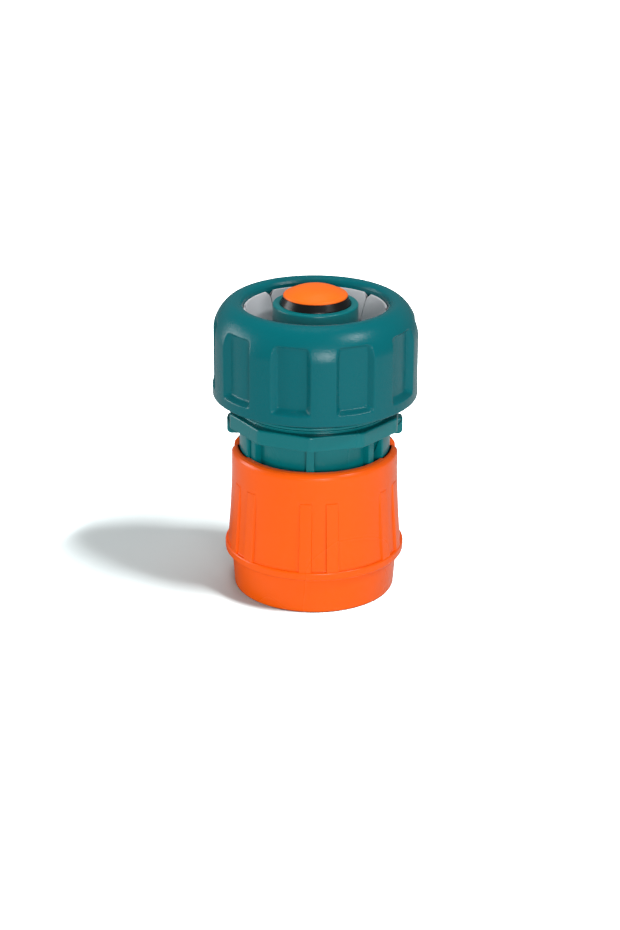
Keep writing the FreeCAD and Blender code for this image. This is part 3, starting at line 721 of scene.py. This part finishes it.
def sleeve_shell(settings):
    """Release sleeve: a turned outline with pairs of straight-crested ribs and two notches in its rim.

    The wall is hollow, a parabola through three points. A rib lifts the radius to its crest's line
    where that stands off the wall. In a notch, points high on the wall sink with the rim.
    """
    rise = settings.rib_rise / MM
    travel = np.linspace(0.0, 1.0, WALL_POINTS)
    step = np.array([-0.3, -0.06, 0.06])
    wall_z = np.sort(np.r_[RING_TOP_Z + (WALL_TOP_Z - RING_TOP_Z) * travel, RIB_TOP_Z + step])
    travel = (wall_z - RING_TOP_Z) / (WALL_TOP_Z - RING_TOP_Z)
    bend = (WALL_BEND[1] - RING_TOP_Z) / (WALL_TOP_Z - RING_TOP_Z)
    curve = (WALL_BEND[0] - WALL_FOOT_R - bend * (WALL_TOP_R - WALL_FOOT_R)) / (bend * (bend - 1))
    wall_r = WALL_FOOT_R + travel * (WALL_TOP_R - WALL_FOOT_R) + curve * travel * (travel - 1)
    low = rounded(
        (MOUTH_R, MOUTH_CHAMFER, 0.1),
        (MOUTH_R + MOUTH_CHAMFER, SLEEVE_LOW, 0.1),
        (FOOT_R, SLEEVE_LOW, FOOT_ROUND),
        (SKIRT_TOP_R, RING_LOW_Z, 0.12),
        (SLEEVE_R, RING_LOW_Z, RING_EDGE),
        (SLEEVE_R, RING_TOP_Z, RING_EDGE),
        (WALL_FOOT_R, RING_TOP_Z, 0.08),
        (wall_r[1], wall_z[1], 0.0),
    )[1:]
    high = rounded(
        (wall_r[-2], wall_z[-2], 0.0),
        (WALL_TOP_R, WALL_TOP_Z, 0.0),
        (WALL_TOP_R, SLEEVE_TOP, RIM_ROUND),
        (RIM_BORE_R, SLEEVE_TOP, RIM_INNER_ROUND),
        (RIM_BORE_R, LEDGE_Z, 0.1),
        (LAND_R, LEDGE_Z, 0.1),
        (LAND_R, CAM_TOP_Z, 0.1),
        (CAM_LOW_R, CAM_LOW_Z, 0.1),
        (MOUTH_R, CAM_LOW_Z, 0.1),
        (MOUTH_R, MOUTH_CHAMFER, 0.0),
    )[1:]
    line = closed(np.vstack([low, np.stack([wall_r, wall_z], axis=1)[2:-1], high]), SLEEVE_STEP)
    ribs = [-RIB_STEP_DEG / 2 - RIB_HALF_DEG, -RIB_STEP_DEG / 2 + RIB_HALF_DEG]
    rib_edges = azimuth_edges(RIB_PAIR_AZIMUTH, RIB_PAIRS, *ribs, *[-edge for edge in ribs])
    key_edges = azimuth_edges(90.0, 2, -KEY_HALF_DEG, KEY_HALF_DEG)
    notch_edges = np.array([-NOTCH_HALF_DEG, NOTCH_HALF_DEG]) + NOTCH_AZIMUTH
    cut_edges = np.r_[key_edges, notch_edges, -notch_edges]
    edges = np.r_[rib_edges, cut_edges]
    azimuth = azimuth_columns(edges, SLEEVE_COLUMN_DEG, spread=(0.1, 0.25, 0.6))
    r, z = line[:, :1], line[:, 1:]
    pair = np.abs(off_middle(azimuth, RIB_PAIR_AZIMUTH, RIB_PAIRS))
    off_rib = np.abs(pair - RIB_STEP_DEG / 2)
    rib = 1.0 - ramp(off_rib, RIB_HALF_DEG - RIB_SIDE_DEG, RIB_HALF_DEG + RIB_SIDE_DEG)
    share = (z - RING_TOP_Z) / (RIB_TOP_Z - RING_TOP_Z)
    crest = WALL_FOOT_R + rise + share * (WALL_TOP_R + RIB_TOP_RISE - WALL_FOOT_R - rise)
    on_wall = (r > WALL_TOP_R - 0.5) & (z >= RING_TOP_Z - 0.001) & (z < RIB_TOP_Z)
    proud = np.maximum(crest - r, 0.0) * rib * on_wall
    across = np.abs(off_middle(azimuth, 90.0, 2))
    key = 1.0 - ramp(across, KEY_HALF_DEG - KEY_EDGE_DEG, KEY_HALF_DEG + KEY_EDGE_DEG)
    in_key = (z > KEY_LOW_Z) & (r < RIM_BORE_R + RIM_INNER_ROUND + 0.01)
    cut = key * in_key * (KEY_R - RIM_BORE_R)
    beside = np.abs(np.abs(off_middle(azimuth, 0.0, 1)) - NOTCH_AZIMUTH)
    notch = 1.0 - ramp(beside, NOTCH_HALF_DEG - NOTCH_EDGE_DEG, NOTCH_HALF_DEG + NOTCH_EDGE_DEG)
    height = np.clip((z - WALL_TOP_Z) / (SLEEVE_TOP - RIM_ROUND - WALL_TOP_Z), 0.0, 1.0)
    drop = NOTCH_DROP * notch * height
    return grid_shell(placed(r + proud + cut, z - drop, azimuth), True, True)


def valve_head_line():
    """Outline of the valve's stem, collar and head, from the stem's foot to the crown.

    The crown falls from its top by a power of the radius, so that its middle is nearly flat.
    """
    crown_r = HEAD_R - HEAD_EDGE
    crown_z = HEAD_RIM_Z + HEAD_EDGE
    rise = HEAD_TOP - crown_z
    share = np.linspace(1.0, 0.0, CROWN_POINTS)
    crown = np.stack([crown_r * share, HEAD_TOP - rise * share ** HEAD_CROWN_POWER], axis=1)
    collar_low = SEAL_LOW - STEM_COLLAR_THICK
    lower = rounded(
        (0.0, STEM_LOW, 0.0),
        (STEM_R, STEM_LOW, 0.4),
        (STEM_R, collar_low - STEM_FLARE, 0.3),
        (STEM_R + STEM_FLARE, collar_low, 0.2),
        (STEM_COLLAR_R, collar_low, 0.2),
        (STEM_COLLAR_R, SEAL_LOW, 0.1),
        (SEAL_CORE_R, SEAL_LOW, 0.1),
        (SEAL_CORE_R, HEAD_UNDER_Z, 0.1),
        (HEAD_R, HEAD_UNDER_Z, 0.25),
        (HEAD_R, crown_z, HEAD_EDGE),
        (*crown[1], 0.0),
    )
    return refined(np.vstack([lower[:-1], crown[1:]]), HEAD_STEP)


def seal_line():
    """Outline of the valve's rubber seal, which widens downwards to the lip that meets the seat."""
    inner_r = SEAL_CORE_R + SEAL_CORE_GAP
    lip_r = SEAL_R - SEAL_GAP
    top_z = HEAD_UNDER_Z - SEAL_GAP
    return closed(rounded(
        (inner_r, SEAL_LOW, 0.1),
        (SEAL_FOOT_R, SEAL_LOW, 0.1),
        (lip_r, SEAL_LIP_Z, 0.08),
        (lip_r - 0.1, SEAL_LIP_Z + 0.25, 0.08),
        (SEAL_SHOULDER_R, top_z, 0.12),
        (inner_r, top_z, 0.1),
    ), SEAL_STEP)


def node_group(name, inputs, outputs):
    """Empty shader group with its sockets, each given as (name, kind, default)."""
    tree = bpy.data.node_groups.new(name, "ShaderNodeTree")
    for label, kind, default in inputs:
        socket = tree.interface.new_socket(label, in_out="INPUT", socket_type=kind)
        if default is not None:
            socket.default_value = default
    for label, kind in outputs:
        tree.interface.new_socket(label, in_out="OUTPUT", socket_type=kind)
    return tree, tree.nodes.new("NodeGroupInput"), tree.nodes.new("NodeGroupOutput")


def noise_node(tree, vector, scale, detail, roughness=0.5):
    """Noise texture that reads a vector and a scale."""
    node = tree.nodes.new("ShaderNodeTexNoise")
    node.inputs["Detail"].default_value = detail
    node.inputs["Roughness"].default_value = roughness
    tree.links.new(vector, node.inputs["Vector"])
    tree.links.new(scale, node.inputs["Scale"])
    return node


def range_node(tree, value, low, high, to_low, to_high):
    """Smooth map from one range of values to another."""
    node = tree.nodes.new("ShaderNodeMapRange")
    node.interpolation_type = "SMOOTHSTEP"
    node.inputs["From Min"].default_value = low
    node.inputs["From Max"].default_value = high
    node.inputs["To Min"].default_value = to_low
    node.inputs["To Max"].default_value = to_high
    tree.links.new(value, node.inputs["Value"])
    return node


def moulded_group():
    """Moulded skin: a fine spark-eroded grain as a height, and a slow drift between 0 and 1."""
    tree, start, end = node_group(
        "Moulded skin",
        [("Vector", "NodeSocketVector", None), ("Grain Scale", "NodeSocketFloat", 2600.0),
         ("Drift Scale", "NodeSocketFloat", 30.0)],
        [("Height", "NodeSocketFloat"), ("Drift", "NodeSocketFloat")],
    )
    grain = noise_node(tree, start.outputs["Vector"], start.outputs["Grain Scale"], detail=3.0, roughness=0.6)
    drift = noise_node(tree, start.outputs["Vector"], start.outputs["Drift Scale"], detail=2.0)
    spread = range_node(tree, drift.outputs["Fac"], 0.1, 0.9, 0.0, 1.0)
    tree.links.new(grain.outputs["Fac"], end.inputs["Height"])
    tree.links.new(spread.outputs["Result"], end.inputs["Drift"])
    return tree


def tint_group():
    """Colour of a moulded part, between two tints by a slow drift."""
    tree, start, end = node_group(
        "Moulded tint",
        [("Light Tint", "NodeSocketColor", None), ("Deep Tint", "NodeSocketColor", None),
         ("Drift", "NodeSocketFloat", 0.5)],
        [("Colour", "NodeSocketColor")],
    )
    mix = tree.nodes.new("ShaderNodeMix")
    mix.data_type = "RGBA"
    tree.links.new(start.outputs["Drift"], mix.inputs["Factor"])
    tree.links.new(start.outputs["Deep Tint"], mix.inputs["A"])
    tree.links.new(start.outputs["Light Tint"], mix.inputs["B"])
    tree.links.new(mix.outputs["Result"], end.inputs["Colour"])
    return tree


def shaded(name):
    """New material with a bare Principled shader; returns the material, its tree and the shader."""
    material = bpy.data.materials.new(name)
    material.use_nodes = True
    tree = material.node_tree
    return material, tree, tree.nodes["Principled BSDF"]


def group_node(tree, name):
    """A shared group placed in a material."""
    node = tree.nodes.new("ShaderNodeGroup")
    node.node_tree = bpy.data.node_groups[name]
    return node


def grained(tree, shader, roughness, grain_scale, grain_depth):
    """Gives a shader a drifting gloss and a fine grain, and returns the node of the skin behind them.

    Roughness is the pair of its lowest and highest value. The grain's scale counts its waves in a
    metre, and its depth is in millimetres.
    """
    place = tree.nodes.new("ShaderNodeTexCoord")
    skin = group_node(tree, "Moulded skin")
    skin.inputs["Grain Scale"].default_value = grain_scale
    tree.links.new(place.outputs["Object"], skin.inputs["Vector"])
    gloss = range_node(tree, skin.outputs["Drift"], 0.0, 1.0, *roughness)
    tree.links.new(gloss.outputs["Result"], shader.inputs["Roughness"])
    bump = tree.nodes.new("ShaderNodeBump")
    bump.inputs["Distance"].default_value = grain_depth * MM
    tree.links.new(skin.outputs["Height"], bump.inputs["Height"])
    tree.links.new(bump.outputs["Normal"], shader.inputs["Normal"])
    return skin


def moulded_material(name, colour, deepen, roughness, grain_scale, grain_depth, specular):
    """Moulded plastic or rubber, whose colour drifts between its own and itself times deepen."""
    material, tree, shader = shaded(name)
    skin = grained(tree, shader, roughness, grain_scale, grain_depth)
    tint = group_node(tree, "Moulded tint")
    tint.inputs["Light Tint"].default_value = (*colour, 1.0)
    tint.inputs["Deep Tint"].default_value = (*[channel * deepen for channel in colour], 1.0)
    tree.links.new(skin.outputs["Drift"], tint.inputs["Drift"])
    tree.links.new(tint.outputs["Colour"], shader.inputs["Base Color"])
    shader.inputs["Specular IOR Level"].default_value = specular


def wire_material(name, colour):
    """Drawn spring wire: metal whose gloss drifts over a fine grain."""
    material, tree, shader = shaded(name)
    grained(tree, shader, roughness=(0.22, 0.38), grain_scale=5000.0, grain_depth=0.004)
    shader.inputs["Metallic"].default_value = 1.0
    shader.inputs["Base Color"].default_value = (*colour, 1.0)


def length_property(name, description, millimetres):
    """A length that a user may change, given in millimetres and kept in metres."""
    return bpy.props.FloatProperty(
        name=name, description=description, default=millimetres * MM, min=0.0, unit="LENGTH", precision=5,
    )


def colour_property(name, description, colour):
    """A colour that a user may change."""
    return bpy.props.FloatVectorProperty(
        name=name, description=description, default=colour, size=3, min=0.0, max=1.0, subtype="COLOR",
    )


def plain_property(name, description, value):
    """A number without a unit, such as an exponent or a power."""
    return bpy.props.FloatProperty(name=name, description=description, default=value, min=0.0)


class NutSettings(bpy.types.PropertyGroup):
    """Sizes and colour of the hose nut."""

    dome_inset: length_property("Dome inset", "How far the dome draws in to the top land", 4.72)
    dome_drop: length_property("Dome drop", "Height of the dome", 7.12)
    dome_power: plain_property("Dome power", "Exponent of the dome's superellipse", 1.66)
    pocket_depth: length_property("Pocket depth", "Depth of each finger pocket", 1.45)
    pocket_foot: length_property("Pocket foot", "Height of the pockets' lower edge above the nut's foot", 2.1)
    pocket_floor: plain_property("Pocket floor", "Width of a pocket's floor in degrees", 17.5)
    pocket_mouth: plain_property("Pocket mouth", "Width of a pocket's mouth in degrees", 22.5)
    colour: colour_property("Colour", "Teal of the nut", (0.0, 0.115, 0.134))


class BodySettings(bpy.types.PropertyGroup):
    """Colours of the body and the collet."""

    colour: colour_property("Body", "Teal of the body", (0.0, 0.150, 0.164))
    collet_colour: colour_property("Collet", "Grey of the collet", (0.52, 0.535, 0.56))
    nose_colour: colour_property("Nose", "Grey of the nose piece", (0.34, 0.35, 0.36))


class ValveSettings(bpy.types.PropertyGroup):
    """Colours of the water-stop valve."""

    colour: colour_property("Head", "Orange of the valve's head", (0.88, 0.15, 0.01))
    seal_colour: colour_property("Seal", "Black of the rubber seals", (0.006, 0.006, 0.006))
    slide_colour: colour_property("Pusher", "White of the pusher and the claws", (0.72, 0.72, 0.69))


class SleeveSettings(bpy.types.PropertyGroup):
    """Sizes and colour of the release sleeve."""

    rib_rise: length_property("Rib rise", "How far a rib stands proud at its foot", RIB_FOOT_RISE)
    colour: colour_property("Colour", "Orange of the sleeve", (0.90, 0.108, 0.002))
    spring_colour: colour_property("Springs", "Steel of the springs", (0.58, 0.58, 0.57))


class StageSettings(bpy.types.PropertyGroup):
    """Camera, floor and lights of the plain studio."""

    distance: length_property("Distance", "From the camera to the point it looks at", 500.0)
    elevation: plain_property("Elevation", "Camera's height above the horizon in degrees", 22.23)
    lens: plain_property("Lens", "Focal length in millimetres on a 36 mm frame", 85.56)
    sun_power: plain_property("Shadow", "Power of the light that casts the floor's shadow, in watts", 18.0)
    key_power: plain_property("Key", "Power of the key light in watts", 1.1)
    front_power: plain_property("Front", "Power of the front fill in watts", 1.5)
    top_power: plain_property("Top", "Power of the overhead fill in watts", 2.2)
    left_power: plain_property("Left", "Power of the left panel in watts", 1.7)
    low_power: plain_property("Low", "Power of the low fill in watts", 0.8)
    floor_colour: colour_property("Floor", "Colour of the floor", (0.46, 0.505, 0.51))


class CONNECTOR_OT_finishes(bpy.types.Operator):
    """Make the shared node groups and the materials"""

    bl_idname = "connector.finishes"
    bl_label = "Finishes"

    def execute(self, context):
        scene = context.scene
        moulded_group()
        tint_group()
        nut, body = scene.connector_nut, scene.connector_body
        valve, sleeve = scene.connector_valve, scene.connector_sleeve
        # Name, colour, deepen, roughness, grain scale, grain depth and specular level
        rows = (
            ("Teal nut", nut.colour, 0.98, (0.24, 0.28), 2100.0, 0.05, 0.22),
            ("Teal body", body.colour, 0.98, (0.26, 0.32), 2600.0, 0.02, 0.35),
            ("Grey collet", body.collet_colour, 0.93, (0.42, 0.5), 2400.0, 0.03, 0.3),
            ("Grey nose", body.nose_colour, 0.93, (0.4, 0.48), 2400.0, 0.02, 0.3),
            ("Orange sleeve", sleeve.colour, 0.99, (0.26, 0.28), 2200.0, 0.012, 0.3),
            ("Orange valve", valve.colour, 0.96, (0.36, 0.44), 2600.0, 0.02, 0.25),
            ("Black rubber", valve.seal_colour, 0.7, (0.24, 0.3), 3600.0, 0.015, 0.35),
            ("White slides", valve.slide_colour, 0.95, (0.34, 0.42), 2400.0, 0.006, 0.5),
        )
        for row in rows:
            moulded_material(*row)
        wire_material("Spring wire", sleeve.spring_colour)
        return {"FINISHED"}


class CONNECTOR_OT_nut(bpy.types.Operator):
    """Build the domed nut with its finger pockets and inner thread"""

    bl_idname = "connector.nut"
    bl_label = "Hose Nut"

    def execute(self, context):
        shell = nut_shell(context.scene.connector_nut)
        new_piece("nut", [shell], "nut", "teal_abs", "Teal nut", "hose_nut")
        return {"FINISHED"}


class CONNECTOR_OT_body(bpy.types.Operator):
    """Build the body with its flange, ears, ribs, thread, trough and hose tail"""

    bl_idname = "connector.body"
    bl_label = "Body"

    def execute(self, context):
        shells = [body_turned_shell()] + body_bar_shells()
        new_piece("body", shells, "body", "teal_body", "Teal body", "main_body")
        dress("coupling_nose", "Grey nose")
        dress("body_o_ring", "Black rubber")
        return {"FINISHED"}


class CONNECTOR_OT_collet(bpy.types.Operator):
    """Build the grip collet with its eight fingers"""

    bl_idname = "connector.collet"
    bl_label = "Grip Collet"

    def execute(self, context):
        new_piece("collet", collet_shells(), "collet", "grey_acetal", "Grey collet", "grip_collet")
        return {"FINISHED"}


class CONNECTOR_OT_valve(bpy.types.Operator):
    """Build the water-stop valve's head and stem, and its rubber seal"""

    bl_idname = "connector.valve"
    bl_label = "Water-stop Valve"

    def execute(self, context):
        head = lathe(valve_head_line(), VALVE_COLUMN_DEG)
        new_piece("valve_head", [head], "valve", "orange_valve", "Orange valve", "valve_stem")
        seal = lathe(seal_line(), VALVE_COLUMN_DEG)
        new_piece("seal", [seal], "valve", "black_rubber", "Black rubber", "valve_seal")
        dress("valve_pusher", "White slides")
        return {"FINISHED"}


class CONNECTOR_OT_sleeve(bpy.types.Operator):
    """Build the release sleeve with its ribs and notches, and finish the four claws"""

    bl_idname = "connector.sleeve"
    bl_label = "Release Sleeve"

    def execute(self, context):
        shell = sleeve_shell(context.scene.connector_sleeve)
        new_piece("sleeve", [shell], "sleeve", "orange_abs", "Orange sleeve", "release_sleeve")
        claws = [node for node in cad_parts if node.startswith("locking_claw")]
        for claw in claws:
            dress(claw, "White slides")
        return {"FINISHED"}


class CONNECTOR_OT_springs(bpy.types.Operator):
    """Wind the two compression springs of the sleeve and the valve"""

    bl_idname = "connector.springs"
    bl_label = "Springs"

    def execute(self, context):
        rows = (
            ("sleeve_coil", "sleeve_spring", "sleeve_slide", SLEEVE_WIRE_R, SLEEVE_TRAVEL),
            ("valve_coil", "valve_spring", "valve_lift", VALVE_WIRE_R, VALVE_TRAVEL),
        )
        for name, node, joint, wire_r, travel in rows:
            outer_r, low_z, high_z = extent(node)
            shell = coil_shell(outer_r - wire_r, wire_r, low_z, high_z, COIL_TURNS)
            piece = new_piece(name, [shell], "body", "spring_steel", "Spring wire", node)
            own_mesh(piece)
        return {"FINISHED"}


def area_light(name, power, azimuth, elevation, distance, size, glossy):
    """White rectangular light at a distance from the object's middle, turned to it."""
    turn, rise = math.radians(azimuth), math.radians(elevation)
    outward = Vector((math.sin(turn) * math.cos(rise), -math.cos(turn) * math.cos(rise), math.sin(rise)))
    lamp = bpy.data.lights.new(name, "AREA")
    lamp.shape = "RECTANGLE"
    lamp.size, lamp.size_y = size
    lamp.energy = power
    holder = bpy.data.objects.new(name, lamp)
    holder.location = Vector(LIGHT_AIM) + outward * distance
    holder.rotation_mode = "QUATERNION"
    holder.rotation_quaternion = outward.to_track_quat("Z", "Y")
    holder.visible_glossy = glossy
    bpy.context.scene.collection.objects.link(holder)


def floor_material(colour):
    """Matt pale floor with a white glow outside the object's shadow.

    Only the camera sees the glow and the floor's own colour. Other rays meet a darker grey, so that the
    floor throws little light back on the object.
    """
    material, tree, shader = shaded("Floor")
    path = tree.nodes.new("ShaderNodeLightPath")
    base = tree.nodes.new("ShaderNodeMix")
    base.data_type = "RGBA"
    base.inputs["A"].default_value = (FLOOR_BOUNCE, FLOOR_BOUNCE, FLOOR_BOUNCE, 1.0)
    base.inputs["B"].default_value = (*colour, 1.0)
    tree.links.new(path.outputs["Is Camera Ray"], base.inputs["Factor"])
    tree.links.new(base.outputs["Result"], shader.inputs["Base Color"])
    shader.inputs["Roughness"].default_value = 1.0
    shader.inputs["Specular IOR Level"].default_value = 0.0
    place = tree.nodes.new("ShaderNodeTexCoord")
    length = tree.nodes.new("ShaderNodeVectorMath")
    length.operation = "LENGTH"
    tree.links.new(place.outputs["Object"], length.inputs[0])
    glow = range_node(tree, length.outputs["Value"], GLOW_START, GLOW_END, 0.0, 1.0)
    seen = tree.nodes.new("ShaderNodeMath")
    seen.operation = "MULTIPLY"
    tree.links.new(glow.outputs["Result"], seen.inputs[0])
    tree.links.new(path.outputs["Is Camera Ray"], seen.inputs[1])
    shader.inputs["Emission Color"].default_value = (1.0, 1.0, 1.0, 1.0)
    tree.links.new(seen.outputs[0], shader.inputs["Emission Strength"])
    return material


def studio_world():
    """World that is white to the camera and a dim light to all other rays."""
    world = bpy.data.worlds.new("Studio")
    bpy.context.scene.world = world
    world.use_nodes = True
    tree = world.node_tree
    back = tree.nodes["Background"]
    path = tree.nodes.new("ShaderNodeLightPath")
    strength = range_node(tree, path.outputs["Is Camera Ray"], 0.0, 1.0, WORLD_LEVEL, 1.0)
    back.inputs["Color"].default_value = (1.0, 1.0, 1.0, 1.0)
    tree.links.new(strength.outputs["Result"], back.inputs["Strength"])


class CONNECTOR_OT_stage(bpy.types.Operator):
    """Lay the pale floor, hang the lights and set the camera at the photographed angle"""

    bl_idname = "connector.stage"
    bl_label = "Stage"

    def execute(self, context):
        scene = context.scene
        stage = scene.connector_stage
        mesh = bpy.data.meshes.new("floor")
        corners = ((-1, -1), (1, -1), (1, 1), (-1, 1))
        sheet = [(x * FLOOR_HALF, y * FLOOR_HALF, FLOOR_Z) for x, y in corners]
        mesh.from_pydata(sheet, [], [(0, 1, 2, 3)])
        mesh.materials.append(floor_material(stage.floor_colour))
        floor = bpy.data.objects.new("floor", mesh)
        scene.collection.objects.link(floor)
        studio_world()
        # Name, power, azimuth, elevation, distance, size and whether it shows in reflections
        rows = (
            ("Shadow", stage.sun_power, 66.0, 58.0, 0.6, (0.24, 0.05), True),
            ("Key", stage.key_power, 58.0, 48.0, 0.6, (0.12, 0.07), True),
            ("Front", stage.front_power, 12.0, 14.0, 0.55, (0.14, 0.14), True),
            ("Top", stage.top_power, 180.0, 78.0, 0.55, (0.3, 0.3), False),
            ("Low", stage.low_power, -12.0, 3.0, 0.55, (0.3, 0.05), False),
            ("Left", stage.left_power, -100.0, 10.0, 0.55, (0.3, 0.3), True),
        )
        for row in rows:
            area_light(*row)
        floor_only = bpy.data.collections.new("Floor only")
        floor_only.objects.link(floor)
        bpy.data.objects["Shadow"].light_linking.receiver_collection = floor_only
        camera = bpy.data.objects.new("Camera", bpy.data.cameras.new("Camera"))
        rise = math.radians(stage.elevation)
        outward = Vector((0.0, -math.cos(rise), math.sin(rise)))
        camera.location = Vector(CAMERA_AIM) + outward * stage.distance
        camera.rotation_mode = "QUATERNION"
        roll = Quaternion((0.0, 0.0, 1.0), math.radians(CAMERA_ROLL_DEG))
        camera.rotation_quaternion = outward.to_track_quat("Z", "Y") @ roll
        camera.data.lens = stage.lens
        camera.data.sensor_width = 36.0
        camera.data.clip_start = 0.05
        camera.data.clip_end = 10.0
        scene.collection.objects.link(camera)
        scene.camera = camera
        scene.view_settings.view_transform = "Standard"
        return {"FINISHED"}


class CONNECTOR_PT_panel(bpy.types.Panel):
    """Buttons and settings of the connector, in build order."""

    bl_idname = "CONNECTOR_PT_panel"
    bl_label = "Hose Quick Connector"
    bl_space_type = "VIEW_3D"
    bl_region_type = "UI"
    bl_category = "Connector"

    def draw(self, context):
        for operator in OPERATORS:
            self.layout.operator(operator.bl_idname)
        for name in SETTINGS:
            box = self.layout.box()
            group = getattr(context.scene, name)
            for label in group.__annotations__:
                box.prop(group, label)


OPERATORS = (
    CONNECTOR_OT_finishes,
    CONNECTOR_OT_nut,
    CONNECTOR_OT_body,
    CONNECTOR_OT_collet,
    CONNECTOR_OT_valve,
    CONNECTOR_OT_sleeve,
    CONNECTOR_OT_springs,
    CONNECTOR_OT_stage,
)

SETTINGS = {
    "connector_nut": NutSettings,
    "connector_body": BodySettings,
    "connector_valve": ValveSettings,
    "connector_sleeve": SleeveSettings,
    "connector_stage": StageSettings,
}


def register():
    """Make the settings, operators and panel known."""
    for name, group in SETTINGS.items():
        bpy.utils.register_class(group)
        setattr(bpy.types.Scene, name, bpy.props.PointerProperty(type=group))
    for operator in OPERATORS:
        bpy.utils.register_class(operator)
    bpy.utils.register_class(CONNECTOR_PT_panel)


def unregister():
    """Take back what register made known."""
    bpy.utils.unregister_class(CONNECTOR_PT_panel)
    for operator in reversed(OPERATORS):
        bpy.utils.unregister_class(operator)
    for name, group in SETTINGS.items():
        delattr(bpy.types.Scene, name)
        bpy.utils.unregister_class(group)


def main():
    """Build every piece and the stage."""
    register()
    bpy.ops.connector.finishes()
    bpy.ops.connector.nut()
    bpy.ops.connector.body()
    bpy.ops.connector.collet()
    bpy.ops.connector.valve()
    bpy.ops.connector.sleeve()
    bpy.ops.connector.springs()
    bpy.ops.connector.stage()


if __name__ == "__main__":
    main()
